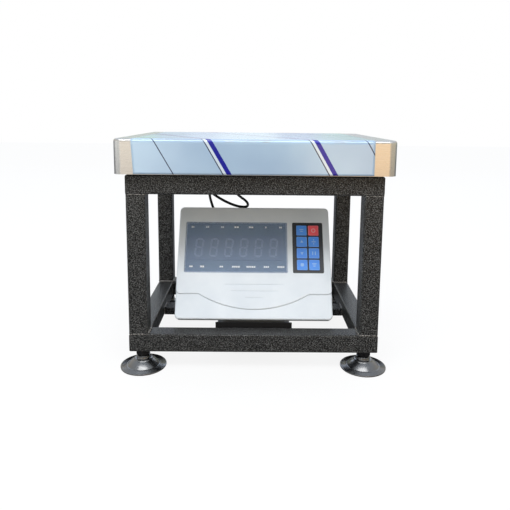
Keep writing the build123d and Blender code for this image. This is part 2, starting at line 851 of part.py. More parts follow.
def tilt_knob(side):
    """Lobed knob with its stud; side is 1 on the right and -1 on the left."""
    radius = knob_diameter / 2
    head = round_bar(2 * (radius - knob_edge), knob_thickness)
    for index in range(knob_lobes):
        angle = math.radians(360 / knob_lobes * index)
        x = (radius - knob_lobe_radius) * math.cos(angle)
        y = (radius - knob_lobe_radius) * math.sin(angle)
        head += Pos(x, y, 0) * round_bar(2 * knob_lobe_radius, knob_thickness)
    rounded = round_bar(knob_diameter, knob_thickness)
    head &= fillet(rounded.faces().sort_by(Axis.Z)[-1].edges(), knob_edge)
    stud = Pos(0, 0, -knob_stud_grip) * round_bar(knob_stud_diameter, knob_stud_grip + knob_thickness / 2)
    x = side * (bracket_width / 2 + knob_gap)
    return Pos(x, pivot_y, pivot_z) * (Rot(0, side * 90, 0) * (head + stud))


def indicator_bracket():
    """Folded sheet: a web behind the front rail, a base on the crossbar and two ears."""
    half = bracket_width / 2
    base_length = crossbar_back_y - face_y
    base = Box(bracket_width, base_length, bracket_sheet)
    base = Pos(0, face_y + base_length / 2, bracket_bottom + bracket_sheet / 2) * base
    web_height = ring_top + bracket_rise - bracket_bottom
    web = Box(bracket_width, bracket_sheet, web_height)
    bracket = base + Pos(0, face_y + bracket_sheet / 2, bracket_bottom + web_height / 2) * web
    ear_height = pivot_z - bracket_bottom
    for sx in (-1, 1):
        x = sx * (half - bracket_sheet / 2)
        ear = Pos(x, pivot_y, bracket_bottom + ear_height / 2) * Box(bracket_sheet, ear_width, ear_height)
        turn = Pos(x, pivot_y, pivot_z) * Rot(0, 90, 0)
        bracket += ear + turn * Cylinder(ear_width / 2, bracket_sheet)
        bracket -= turn * Cylinder(knob_stud_diameter / 2 + fastener_clearance, 2 * bracket_sheet)
    hole = Cylinder(bracket_screw_diameter / 2 + fastener_clearance, 3 * bracket_sheet)
    for sx in (-1, 1):
        x = sx * bracket_screw_spacing / 2
        bracket -= Pos(x, face_y, web_screw_z) * (Rot(90, 0, 0) * hole)
        bracket -= Pos(x, crossbar_y, bracket_bottom) * hole
    return bracket


def bracket_screws():
    length = bracket_sheet + crossbar_wall + bracket_screw_end
    screw = bolt(bracket_screw_diameter, length, bracket_screw_flats, bracket_screw_head)
    screws = []
    for sx in (-1, 1):
        x = sx * bracket_screw_spacing / 2
        screws.append(Pos(x, face_y + bracket_sheet, web_screw_z) * (Rot(-90, 0, 0) * screw))
        screws.append(Pos(x, crossbar_y, bracket_bottom + bracket_sheet) * screw)
    return Compound(screws)


def indicator_parts():
    parts = {
        "indicator_bracket": indicator_bracket(),
        "bracket_screws": bracket_screws(),
        "front_cover": front_cover(),
        "rear_cover": rear_cover(),
        "display_lens": display_lens(),
        "digit_display": digit_display(),
        "main_board": main_board(),
        "keypad_panel": keypad_panel(),
        "battery": battery(),
        "charging_socket": charging_socket(),
        "cover_screws": cover_screws(),
        "cable_gland": cable_gland(),
        "tilt_knob_left": tilt_knob(-1),
        "tilt_knob_right": tilt_knob(1),
    }
    for index, (x, y) in enumerate(key_centres()):
        parts["key_" + str(index + 1)] = key(x, y)
    return parts


def route_radii(points):
    """Radius of the arc at each inner point of the cable's route."""
    radii = []
    for before, here, after in zip(points, points[1:], points[2:]):
        first = Vector(*here) - Vector(*before)
        second = Vector(*after) - Vector(*here)
        turn = math.radians(first.get_angle(second))
        shorter = min(first.length, second.length)
        radii.append(cable_turn_share * shorter / math.tan(turn / 2))
    return radii


def load_cell_cable():
    """Round cable of straight runs joined by arcs."""
    radii = route_radii(cable_route)
    path = FilletPolyline(*cable_route, radius=radii)
    start = Vector(*cable_route[0])
    heading = Vector(*cable_route[1]) - start
    section = Plane(origin=start, z_dir=heading) * Circle(cable_diameter / 2)
    cable = sweep(section, path)
    expected = math.pi * cable_diameter**2 / 4 * path.length
    print("cable radii", [round(radius, 1) for radius in radii])
    print("cable length", round(path.length, 1), "volume over section times length", cable.volume / expected)
    return cable


def cable_clip():
    """Clip under the load cell beam that holds the cable."""
    first = Vector(*cable_route[12])
    second = Vector(*cable_route[13])
    middle = (first + second) * 0.5
    beam_bottom = frame_top - tube_size
    grip = cable_diameter / 2 + nut_bore_clearance
    sleeve = Circle(grip + clip_wall) - Circle(grip)
    band = extrude(Plane(origin=middle, z_dir=second - first) * sleeve, clip_length / 2, both=True)
    tab_thickness = beam_bottom - (middle.Z + grip + clip_wall / 2)
    tab = Pos(middle.X, middle.Y - clip_tab / 2, beam_bottom - tab_thickness / 2)
    tab = tab * Box(clip_length, clip_tab, tab_thickness)
    return band + tab


def write_parts():
    parts = {}
    parts.update(frame_parts())
    parts.update(foot_parts())
    parts.update(load_cell_parts())
    parts.update(spider_parts())
    parts["overload_stops"] = overload_stops()
    parts.update(pan_parts())
    parts.update(indicator_parts())
    parts["load_cell_cable"] = load_cell_cable()
    parts["cable_clip"] = cable_clip()
    for name, shape in parts.items():
        export_step(shape, "parts/" + name + ".step")
    print(len(parts), "nodes written")


write_parts()
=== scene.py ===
import math

import bmesh
import bpy
from mathutils import Matrix, Vector, noise


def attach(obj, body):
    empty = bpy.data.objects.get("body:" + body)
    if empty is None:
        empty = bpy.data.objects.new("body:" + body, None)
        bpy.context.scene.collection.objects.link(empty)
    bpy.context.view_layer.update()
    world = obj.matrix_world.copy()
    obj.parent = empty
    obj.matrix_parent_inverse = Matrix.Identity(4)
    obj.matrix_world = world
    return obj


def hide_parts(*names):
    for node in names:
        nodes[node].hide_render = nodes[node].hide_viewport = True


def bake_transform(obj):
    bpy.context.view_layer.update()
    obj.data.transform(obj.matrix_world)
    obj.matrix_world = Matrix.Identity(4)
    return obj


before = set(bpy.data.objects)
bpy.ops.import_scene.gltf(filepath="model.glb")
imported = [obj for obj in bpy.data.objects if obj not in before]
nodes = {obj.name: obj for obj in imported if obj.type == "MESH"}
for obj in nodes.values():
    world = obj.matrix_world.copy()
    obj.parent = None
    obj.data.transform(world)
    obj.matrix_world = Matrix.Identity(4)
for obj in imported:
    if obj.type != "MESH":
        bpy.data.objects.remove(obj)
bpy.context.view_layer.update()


def mm(*values):
    return values[0] / 1000 if len(values) == 1 else Vector(values) / 1000


def linearColour(code):
    channels = [int(code[i:i + 2], 16) / 255 for i in (1, 3, 5)]
    return tuple(c / 12.92 if c <= 0.04045 else ((c + 0.055) / 1.055) ** 2.4 for c in channels) + (1.0,)


def putInScene(name, data):
    item = bpy.data.objects.new(name, data)
    bpy.context.scene.collection.objects.link(item)
    return item


# Camera, set up from the horizon, the edges of the pan and the four feet in the picture
cameraSetup = {
    "place": mm(-4.5, -863.7, 379.8),
    "pitchDown": 8.43,
    "yaw": -0.35,
    "roll": 0.55,
    "lens": 36.18,
    "sensor": 36.0,
    "shiftY": -0.124,
    "nearest": mm(10.0),
}


def makeCamera(setup):
    data = bpy.data.cameras.new("camera")
    data.lens = setup["lens"]
    data.sensor_width = setup["sensor"]
    data.shift_y = setup["shiftY"]
    data.clip_start = setup["nearest"]
    camera = putInScene("camera", data)
    turn = Matrix.Rotation(math.radians(setup["yaw"]), 4, "Z")
    tilt = Matrix.Rotation(math.radians(90 - setup["pitchDown"]), 4, "X")
    roll = Matrix.Rotation(math.radians(setup["roll"]), 4, "Z")
    camera.matrix_world = Matrix.Translation(setup["place"]) @ turn @ tilt @ roll
    bpy.context.scene.camera = camera


makeCamera(cameraSetup)
print("camera set")


# Materials: sizes are in millimetres, tones are the stops of a ramp over the pattern, and a pair of
# roughness values belongs to the low and the high end of the pattern
def feed(tree, node, sources):
    for key, source in sources.items():
        tree.links.new(source, node.inputs[key])


def addNode(tree, kind, settings=None, links=None):
    node = tree.nodes.new("ShaderNode" + kind)
    for key, value in (settings or {}).items():
        if isinstance(key, int) or key in node.inputs:
            node.inputs[key].default_value = value
        else:
            setattr(node, key, value)
    feed(tree, node, links or {})
    return node


def newMaterial(name, shaderSettings):
    material = bpy.data.materials.new(name)
    material.use_nodes = True
    tree = material.node_tree
    shader = tree.nodes["Principled BSDF"]
    for key, value in shaderSettings.items():
        shader.inputs[key].default_value = value
    place = addNode(tree, "TexCoord").outputs["Object"]  # metres, in the piece's own frame
    return material, tree, shader, place


def setRamp(ramp, stops):
    elements = ramp.color_ramp.elements
    while len(elements) < len(stops):
        elements.new(0.5)
    for element, (position, code) in zip(elements, stops):
        element.position = position
        element.color = linearColour(code)


def perMetre(sizeInMm):
    return 1000 / sizeInMm  # texture scale for a feature of that size


# Hammertone enamel on welded mild steel: the silicone in it pulls the coat into small shallow cells,
# so flat faces glitter in points, and the hollows between them stay darker
hammertone = {
    "cell": 2.4,
    "cellBlur": 0.4,
    "cellDepth": 0.3,
    "fleck": 1.3,  # the real glitter is finer, but would be lost at the size of the picture
    "fleckDepth": 0.1,
    "fleckStrength": 0.6,
    "tones": [(0.42, "#030303"), (0.5, "#0d0d0d"), (0.62, "#6e6f6f")],
    "roughness": (0.5, 0.2),
    "specular": 0.85,
    "sheen": "#9a9a9a",  # the coat is rough enough to mirror little, even at a flat angle
}


def makeHammertoneEnamel(name, look):
    material, tree, shader, place = newMaterial(name, {
        "Specular IOR Level": look["specular"],
        "Specular Tint": linearColour(look["sheen"]),
    })
    cells = addNode(tree, "TexVoronoi", {
        "feature": "SMOOTH_F1", "Scale": perMetre(look["cell"]), "Smoothness": look["cellBlur"],
    }, {"Vector": place})
    fleck = addNode(tree, "TexNoise", {"Scale": perMetre(look["fleck"]), "Detail": 2, "Roughness": 0.5},
                    {"Vector": place})
    ramp = addNode(tree, "ValToRGB", {}, {"Fac": fleck.outputs["Fac"]})
    setRamp(ramp, look["tones"])
    rough = addNode(tree, "MapRange", {"To Min": look["roughness"][0], "To Max": look["roughness"][1]},
                    {"Value": fleck.outputs["Fac"]})
    fine = addNode(tree, "Bump", {"Strength": look["fleckStrength"], "Distance": mm(look["fleckDepth"])},
                   {"Height": fleck.outputs["Fac"]})
    bump = addNode(tree, "Bump", {"Strength": 1.0, "Distance": mm(look["cellDepth"]), "invert": True},
                   {"Height": cells.outputs["Distance"], "Normal": fine.outputs["Normal"]})
    feed(tree, shader, {"Base Color": ramp.outputs["Color"], "Roughness": rough.outputs["Result"],
                        "Normal": bump.outputs["Normal"]})
    return material


# The same enamel pooled over the welds: smoother and thicker, and painted lighter, so each bead carries a painted
# highlight line
pooledEnamelPaintedHighlight = dict(
    hammertone,
    # lighter tones than the frame's enamel: a painted highlight on every bead and seam
    tones=[(0.42, "#030303"), (0.5, "#6b6864"), (0.62, "#a5a19c")],
    roughness=(0.4, 0.1),
    cellDepth=0.04,
    specular=0.9,
    sheen="#ffffff",
)

# Powder coat on folded sheet: an even black with a fine orange peel
powderCoat = {
    "tones": [(0.35, "#0c0c0e"), (0.75, "#18181a")],
    "peel": 1.1,
    "peelDepth": 0.08,
    "peelStrength": 0.35,
    "roughness": 0.3,
}


def makePowderCoat(name, look):
    material, tree, shader, place = newMaterial(name, {"Roughness": look["roughness"]})
    peel = addNode(tree, "TexNoise", {"Scale": perMetre(look["peel"]), "Detail": 2}, {"Vector": place})
    ramp = addNode(tree, "ValToRGB", {}, {"Fac": peel.outputs["Fac"]})
    setRamp(ramp, look["tones"])
    bump = addNode(tree, "Bump", {"Strength": look["peelStrength"], "Distance": mm(look["peelDepth"])},
                   {"Height": peel.outputs["Fac"]})
    feed(tree, shader, {"Base Color": ramp.outputs["Color"], "Normal": bump.outputs["Normal"]})
    return material


# Stainless sheet, grade 430, brushed along its length: long fine scratches stretch every highlight
brushedSteel = {
    "tones": [(0.3, "#b5b3b1"), (0.7, "#cfcdca")],
    "scratch": 0.35,
    "scratchDepth": 0.02,
    "scratchStrength": 0.12,
    "stretch": 60,
    "roughness": (0.21, 0.37),
}


def makeBrushedStainless(name, look):
    material, tree, shader, place = newMaterial(name, {"Metallic": 1.0})
    squeezed = addNode(tree, "VectorMath", {"operation": "MULTIPLY", 1: (1 / look["stretch"], 1, 1)}, {0: place})
    lines = addNode(tree, "TexNoise", {"Scale": perMetre(look["scratch"]), "Detail": 4, "Roughness": 0.7},
                    {"Vector": squeezed.outputs[0]})
    ramp = addNode(tree, "ValToRGB", {}, {"Fac": lines.outputs["Fac"]})
    setRamp(ramp, look["tones"])
    rough = addNode(tree, "MapRange", {"To Min": look["roughness"][0], "To Max": look["roughness"][1]},
                    {"Value": lines.outputs["Fac"]})
    bump = addNode(tree, "Bump", {"Strength": look["scratchStrength"], "Distance": mm(look["scratchDepth"])},
                   {"Height": lines.outputs["Fac"]})
    feed(tree, shader, {"Base Color": ramp.outputs["Color"], "Roughness": rough.outputs["Result"],
                        "Normal": bump.outputs["Normal"]})
    return material


# Outline of the pan, which the film and its stripes follow
pan = {"halfDepth": 150.0, "top": 347.0, "bottom": 297.0, "bend": 4.0}

# Blue polyethylene protective film, glossy and clingy, printed with slanting stripes: a thin line, a pale gap
# and a thick navy line in each pair, and a lone thin line in every second space between the pairs
film = {
    # the blue drifts between these two in broad patches: painted reflection of the surroundings
    "tones": [(0.35, "#aac4e0"), (0.65, "#bbd6ee")],
    "paintedReflectionSize": 120,
    "gap": "#dbe9f6",
    "ink": "#04069a",
    "fineInk": "#141c48",
    "steelThrough": 0.15,  # the steel under the thin film still mirrors a little
    "roughness": 0.24,
    "coat": 0.35,
    "coatRoughness": 0.06,
    "crease": 26,
    "creaseDepth": 1.2,
    "creaseStrength": 0.25,
    "start": -72.8,  # where the first pair meets the top of the front skirt
    "lean": 0.58,  # how far a stripe moves sideways on each millimetre of film
    "repeat": 149.3,
    "gapAt": 2.1,
    "gapWidth": 4.6,
    "thickAt": 7.75,
    "thickWidth": 7.1,
    "thinAt": 148.4,
    "thinWidth": 1.6,
    "loneAt": 227.9,
    "leftTop": -173.8,
    "leftBottom": -170.8,
    "right": 167.0,
    "hem": 0.5,
    "thickness": 0.08,
    "lift": 0.12,
    "rows": 150,
    "columns": 96,
    "ripple": (34, 60),  # length of a ripple across and along the film
    "crinkle": (11, 17),
    "crinkleShare": 0.4,
    "rippleHeight": 0.09,
    "curl": 0.35,  # how far the film's side edges come off the steel
    "curlLength": 25,
    "curlColumns": 3,
    "curlOnTop": 0.4,  # the edges lie flatter on top
    "topLimit": 0.2,  # keeps the film on top within the height of the solid
}


def makePrintedFilm(name, look):
    material, tree, shader, place = newMaterial(name, {
        "Metallic": look["steelThrough"],
        "Roughness": look["roughness"],
        "IOR": 1.51,
        "Coat Weight": look["coat"],
        "Coat Roughness": look["coatRoughness"],
    })
    parts = addNode(tree, "SeparateXYZ", {}, {0: place})
    # distance along the film: up the front skirt, over the top and down the rear skirt
    drop = addNode(tree, "Math", {"operation": "SUBTRACT", 1: mm(pan["top"])}, {0: parts.outputs["Z"]})
    side = addNode(tree, "Math", {"operation": "SIGN"}, {0: parts.outputs["Y"]})
    fold = addNode(tree, "Math", {"operation": "MULTIPLY"}, {0: drop.outputs[0], 1: side.outputs[0]})
    along = addNode(tree, "Math", {"operation": "SUBTRACT"}, {0: parts.outputs["Y"], 1: fold.outputs[0]})
    fromEdge = addNode(tree, "Math", {"operation": "ADD", 1: mm(pan["halfDepth"])}, {0: along.outputs[0]})
    shift = addNode(tree, "Math", {"operation": "MULTIPLY_ADD", 1: look["lean"]},
                    {0: fromEdge.outputs[0], 2: parts.outputs["X"]})
    across = addNode(tree, "Math", {"operation": "SUBTRACT", 1: mm(look["start"])}, {0: shift.outputs[0]})
    repeated, doubled = [
        addNode(tree, "Math", {"operation": "FLOORED_MODULO", 1: mm(span)}, {0: across.outputs[0]})
        for span in (look["repeat"], 2 * look["repeat"])
    ]
    # broad patches of the two blues: painted reflection
    paintedReflectionNoise = addNode(tree, "TexNoise", {"Scale": perMetre(look["paintedReflectionSize"]), "Detail": 2}, {"Vector": place})
    ramp = addNode(tree, "ValToRGB", {}, {"Fac": paintedReflectionNoise.outputs["Fac"]})
    setRamp(ramp, look["tones"])
    colour = ramp.outputs["Color"]
    bands = [
        (repeated, look["gapAt"], look["gapWidth"], look["gap"]),
        (repeated, look["thickAt"], look["thickWidth"], look["ink"]),
        (repeated, look["thinAt"], look["thinWidth"], look["fineInk"]),
        (doubled, look["loneAt"], look["thinWidth"], look["fineInk"]),
    ]
    for source, centre, width, code in bands:
        near = addNode(tree, "Math", {"operation": "COMPARE", 1: mm(centre), 2: mm(width / 2)},
                       {0: source.outputs[0]})
        mix = addNode(tree, "Mix", {"data_type": "RGBA", 7: linearColour(code)},
                      {0: near.outputs[0], 6: colour})
        colour = mix.outputs[2]
    ripple = addNode(tree, "TexNoise", {"Scale": perMetre(look["crease"]), "Detail": 3, "Roughness": 0.45},
                     {"Vector": place})
    bump = addNode(tree, "Bump", {"Strength": look["creaseStrength"], "Distance": mm(look["creaseDepth"])},
                   {"Height": ripple.outputs["Fac"]})
    feed(tree, shader, {"Base Color": colour, "Normal": bump.outputs["Normal"]})
    return material


# Moulded plastics share one build: a body colour with a faint mottle and a spark-eroded grain
mouldedBuild = {
    "ior": 1.52,
    "mottle": 40,
    "shadeAt": 0.3,
    "colourAt": 0.6,
    "smoother": 0.05,
    "rougher": 0.07,
    "grainStrength": 0.3,
}


def makeMouldedPlastic(name, colour, shade, roughness, grain, depth, extra=None):
    build = mouldedBuild
    material, tree, shader, place = newMaterial(name, {"IOR": build["ior"], **(extra or {})})
    mottle = addNode(tree, "TexNoise", {"Scale": perMetre(build["mottle"]), "Detail": 3}, {"Vector": place})
    ramp = addNode(tree, "ValToRGB", {}, {"Fac": mottle.outputs["Fac"]})
    setRamp(ramp, [(build["shadeAt"], shade), (build["colourAt"], colour)])
    texture = addNode(tree, "TexNoise", {"Scale": perMetre(grain), "Detail": 2}, {"Vector": place})
    rough = addNode(tree, "MapRange", {
        "To Min": roughness - build["smoother"], "To Max": roughness + build["rougher"],
    }, {"Value": texture.outputs["Fac"]})
    bump = addNode(tree, "Bump", {"Strength": build["grainStrength"], "Distance": mm(depth)},
                   {"Height": texture.outputs["Fac"]})
    feed(tree, shader, {"Base Color": ramp.outputs["Color"], "Roughness": rough.outputs["Result"],
                        "Normal": bump.outputs["Normal"]})
    return material


# Metals that are turned, plated or oxidised share one build as well: blotches and fine tool marks
metalBuild = {
    "blotch": 6,
    "shadeAt": 0.35,
    "colourAt": 0.65,
    "smoother": 0.07,
    "rougher": 0.12,
    "markDepth": 0.03,
    "markStrength": 0.2,
}


def makeFinishedMetal(name, colour, shade, roughness, mark, metallic=1.0):
    build = metalBuild
    material, tree, shader, place = newMaterial(name, {"Metallic": metallic})
    blotch = addNode(tree, "TexNoise", {"Scale": perMetre(build["blotch"]), "Detail": 4}, {"Vector": place})
    ramp = addNode(tree, "ValToRGB", {}, {"Fac": blotch.outputs["Fac"]})
    setRamp(ramp, [(build["shadeAt"], shade), (build["colourAt"], colour)])
    rough = addNode(tree, "MapRange", {
        "To Min": roughness - build["smoother"], "To Max": roughness + build["rougher"],
    }, {"Value": blotch.outputs["Fac"]})
    marks = addNode(tree, "TexNoise", {"Scale": perMetre(mark), "Detail": 3}, {"Vector": place})
    bump = addNode(tree, "Bump", {"Strength": build["markStrength"], "Distance": mm(build["markDepth"])},
                   {"Height": marks.outputs["Fac"]})
    feed(tree, shader, {"Base Color": ramp.outputs["Color"], "Roughness": rough.outputs["Result"],
                        "Normal": bump.outputs["Normal"]})
    return material


# Smoked acrylic window: its pale blue grey is a painted reflection of the daylight sky on the sheet, and it lets
# the unlit digits show faintly
smokedWindowPaintedSky = {
    # pale blue greys, lighter than the smoke itself: painted sky reflection
    "tones": [(0.35, "#9ab0d2"), (0.65, "#a3b8d8")],
    "cloud": 90,
    "cover": 0.41,  # how much of what lies behind it one face hides
    "roughness": 0.12,
}


def makeSmokedAcrylic(name, look):
    material, tree, shader, place = newMaterial(name, {
        "IOR": 1.49,
        "Roughness": look["roughness"],
        "Alpha": look["cover"],
    })
    cloud = addNode(tree, "TexNoise", {"Scale": perMetre(look["cloud"]), "Detail": 1}, {"Vector": place})
    ramp = addNode(tree, "ValToRGB", {}, {"Fac": cloud.outputs["Fac"]})
    setRamp(ramp, look["tones"])
    feed(tree, shader, {"Base Color": ramp.outputs["Color"]})
    return material


# Soft PVC jacket of the cable: nearly black with a low sheen
softJacket = {
    "tones": [(0.4, "#070708"), (0.75, "#121214")],
    "dust": 5,
    "roughness": (0.33, 0.5),
    "specular": 0.25,
}


def makeCableJacket(name, look):
    material, tree, shader, place = newMaterial(name, {"Specular IOR Level": look["specular"]})
    dust = addNode(tree, "TexNoise", {"Scale": perMetre(look["dust"]), "Detail": 3}, {"Vector": place})
    ramp = addNode(tree, "ValToRGB", {}, {"Fac": dust.outputs["Fac"]})
    setRamp(ramp, look["tones"])
    rough = addNode(tree, "MapRange", {"To Min": look["roughness"][0], "To Max": look["roughness"][1]},
                    {"Value": dust.outputs["Fac"]})
    feed(tree, shader, {"Base Color": ramp.outputs["Color"], "Roughness": rough.outputs["Result"]})
    return material


enamel = makeHammertoneEnamel("hammertoneEnamel", hammertone)
weldEnamelPaintedHighlight = makeHammertoneEnamel("pooledEnamelPaintedHighlightOnWelds", pooledEnamelPaintedHighlight)
bracketPaint = makePowderCoat("blackPowderCoat", powderCoat)
panSteel = makeBrushedStainless("brushedStainlessSheet", brushedSteel)
printedFilm = makePrintedFilm("protectiveFilm", film)
smokedAcrylicPaintedSky = makeSmokedAcrylic("smokedAcrylicPaintedSky", smokedWindowPaintedSky)
cableJacket = makeCableJacket("cableJacket", softJacket)

# Housing, moulded ABS: a cool near white, its satin grain softens the light from above
housingAbs = makeMouldedPlastic("mouldedAbsHousing", colour="#e4ecf4", shade="#dce5ee",
                                roughness=0.42, grain=0.8, depth=0.03)
# Foot pads, nylon from a polished mould: black, with a bright soft highlight on the cone
polish = {"Specular IOR Level": 0.5, "Coat Weight": 1.0, "Coat Roughness": 0.24, "Coat IOR": 2.1}
footNylon = makeMouldedPlastic("glossyBlackNylon", colour="#0c0d10", shade="#070809",
                               roughness=0.32, grain=1.6, depth=0.05, extra=polish)
# Knobs, gland and clip, moulded nylon: a duller black than the frame
knobNylon = makeMouldedPlastic("blackNylonKnob", colour="#1b1c1e", shade="#131415",
                               roughness=0.45, grain=0.9, depth=0.05)
# Pads under the pan, moulded rubber: matt and nearly black
padRubber = makeMouldedPlastic("blackRubber", colour="#1e1e1e", shade="#161616",
                               roughness=0.7, grain=0.8, depth=0.06)
# Battery case, moulded ABS: a dark grey with a dull grain
batteryCase = makeMouldedPlastic("batteryAbsCase", colour="#2b2d31", shade="#222428",
                                 roughness=0.5, grain=0.8, depth=0.04)
# Keypad panel, printed polycarbonate film: a flat dark grey between the keys
keypadFilm = makeMouldedPlastic("printedPolycarbonate", colour="#33363c", shade="#2b2e34",
                                roughness=0.42, grain=0.7, depth=0.03)
# Keys, moulded silicone: saturated blue and red with a soft dull surface
blueKey = makeMouldedPlastic("blueSiliconeKey", colour="#58a0ff", shade="#4f96ff",
                             roughness=0.45, grain=0.9, depth=0.04)
redKey = makeMouldedPlastic("redSiliconeKey", colour="#ff6470", shade="#f55a67",
                            roughness=0.45, grain=0.9, depth=0.04)
# Screen ink on the keys and the window: flat marks, paler than what they lie on
keyPrint = makeMouldedPlastic("paleKeyPrint", colour="#a2ccff", shade="#97c2ff",
                              roughness=0.5, grain=0.9, depth=0.01)
redPrint = makeMouldedPlastic("pinkKeyPrint", colour="#f0b9be", shade="#ebaeb4",
                              roughness=0.5, grain=0.9, depth=0.01)
windowPrint = makeMouldedPlastic("whiteWindowPrint", colour="#fbfdff", shade="#f0f4f9",
                                 roughness=0.5, grain=0.9, depth=0.01)
# Digit block, moulded ABS with milky unlit bars: grey on grey behind the window
digitBlock = makeMouldedPlastic("greyDigitBlock", colour="#434e5c", shade="#3c4653",
                                roughness=0.5, grain=0.9, depth=0.03)
digitBar = makeMouldedPlastic("unlitDigitBar", colour="#e8edf4", shade="#dde3ec",
                              roughness=0.4, grain=0.9, depth=0.02)
# Main board, glass laminate under green solder mask: a smooth dark green
boardLaminate = makeMouldedPlastic("boardSolderMask", colour="#1f5a3a", shade="#194c31",
                                   roughness=0.35, grain=1.2, depth=0.03)
# Studs, nuts and bracket screws, black oxide on turned steel: an oily black that still mirrors
blackSteel = makeFinishedMetal("blackOxideSteel", colour="#2a2a2c", shade="#1a1a1c",
                               roughness=0.38, mark=0.5, metallic=0.7)
# Bolts and spacers, bright zinc plate on steel: pale grey with cloudy patches
zincSteel = makeFinishedMetal("zincPlatedSteel", colour="#c4c6ca", shade="#a8abb2", roughness=0.33, mark=0.5)
# Load cell, clear anodised aluminium: silvery grey with faint milling marks
cellAluminium = makeFinishedMetal("anodisedAluminium", colour="#b9bcc2", shade="#a5a9b0", roughness=0.36, mark=0.6)
print("materials made")


# Load cell cable: the same route as its solid, as one smooth line through the slack loop under the top rail
cable = {
    "diameter": 4.5,
    "length": 422.4,
    "route": [
        (-71, 0, 309), (-85, 0, 309), (-96, 4, 297), (-97, 10, 278), (-88, 16, 259), (-70, 18, 243),
        (-48, 18, 230), (-27, 20, 222), (-11, 30, 220), (-12, 50, 226), (-31, 55, 238), (-40, 49, 253),
        (-49, 44.5, 262), (-69, 43, 262), (-79, 44, 254), (-81, 44, 240), (-75, 44, 218), (-65, 46, 194),
        (-52, 50, 172), (-36, 51, 154), (-21, 46, 143), (-15, 33, 138.5), (-15, 20, 138.5),
    ],
    "stepsBetween": 8,
    "roundness": 6,
    "bendsFrom": (-30, 45, 215),  # from here on the cable lies along the housing, which tilts
    "bendsTo": (-30, 45, 145),
}


def makeCable(facts):
    data = bpy.data.curves.new("cableLine", "CURVE")
    data.dimensions = "3D"
    spline = data.splines.new("NURBS")
    spline.points.add(len(facts["route"]) - 1)
    for point, place in zip(spline.points, facts["route"]):
        point.co = (*mm(*place), 1.0)
    spline.order_u = 3
    spline.use_endpoint_u = True
    spline.resolution_u = facts["stepsBetween"]
    line = putInScene("cableLine", data)
    graph = bpy.context.evaluated_depsgraph_get()
    thin = bpy.data.meshes.new_from_object(line.evaluated_get(graph))
    data.bevel_depth = mm(facts["diameter"] / 2)
    data.bevel_resolution = facts["roundness"]
    data.use_fill_caps = True
    graph = bpy.context.evaluated_depsgraph_get()
    graph.update()
    tube = bpy.data.meshes.new_from_object(line.evaluated_get(graph))
    tube.materials.clear()
    tube.materials.append(cableJacket)
    for face in tube.polygons:
        face.use_smooth = True
    bpy.data.objects.remove(line)
    piece = putInScene("loadCellCable", tube)
    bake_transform(piece)
    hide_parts("load_cell_cable")


makeCable(cable)
print("cable laid")


# Paint for the solids that keep their own shape: a last underscore stands for every name that starts so
finishes = [
    (enamel, ["top_rail_", "bottom_rail_", "post_", "lower_crossbar", "load_cell_beam", "spider_"]),
    (bracketPaint, ["indicator_bracket"]),
    (blackSteel, ["foot_nuts", "bracket_screws"]),
    (zincSteel, ["overload_stops", "cell_bolts_", "cover_screws", "cell_spacer_"]),
    (cellAluminium, ["load_cell"]),
    (padRubber, ["pan_pads"]),
    (panSteel, ["weighing_pan"]),
    (housingAbs, ["front_cover", "rear_cover"]),
    (smokedAcrylicPaintedSky, ["display_lens"]),
    (digitBlock, ["digit_display"]),
    (boardLaminate, ["main_board"]),
    (keypadFilm, ["keypad_panel"]),
    (blueKey, ["key_"]),
    (redKey, ["key_2"]),
    (batteryCase, ["battery"]),
    (knobNylon, ["tilt_knob_", "cable_gland", "charging_socket", "cable_clip"]),
]


def paintSolids(table):
    for material, starts in table:
        for name, piece in nodes.items():
            family = any(name.startswith(start) for start in starts if start.endswith("_"))
            if name not in starts and not family:
                continue
            if not piece.material_slots:
                piece.data.materials.append(material)
            for slot in piece.material_slots:
                slot.material = material


paintSolids(finishes)
print("solids painted")


# Mesh helpers: each builds a closed shape in a bmesh, in millimetres, and putPiece makes it a piece
def putPiece(name, shape, body, material, replaced=(), smooth=True, place=Matrix()):
    bmesh.ops.recalc_face_normals(shape, faces=shape.faces)
    shape.transform(Matrix.Scale(0.001, 4) @ place)
    mesh = bpy.data.meshes.new(name)
    shape.to_mesh(mesh)
    shape.free()
    mesh.materials.append(material)
    for face in mesh.polygons:
        face.use_smooth = smooth
    piece = putInScene(name, mesh)
    if body:  # a piece given no body stays unattached
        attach(piece, body)
    if replaced:
        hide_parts(*replaced)
    return piece


def joinRings(shape, lower, upper):
    for i in range(len(lower)):
        after = (i + 1) % len(lower)
        shape.faces.new([lower[i], lower[after], upper[after], upper[i]])


def addRings(shape, rings):
    # joins rings of equal count into a closed skin with flat ends
    made = [[shape.verts.new(point) for point in ring] for ring in rings]
    for lower, upper in zip(made, made[1:]):
        joinRings(shape, lower, upper)
    shape.faces.new(list(reversed(made[0])))
    shape.faces.new(made[-1])


def circle(radius, height, count):
    return [
        (radius * math.cos(2 * math.pi * i / count), radius * math.sin(2 * math.pi * i / count), height)
        for i in range(count)
    ]


def sharpenEdges(piece, degrees):
    piece.data.set_sharp_from_angle(angle=math.radians(degrees))


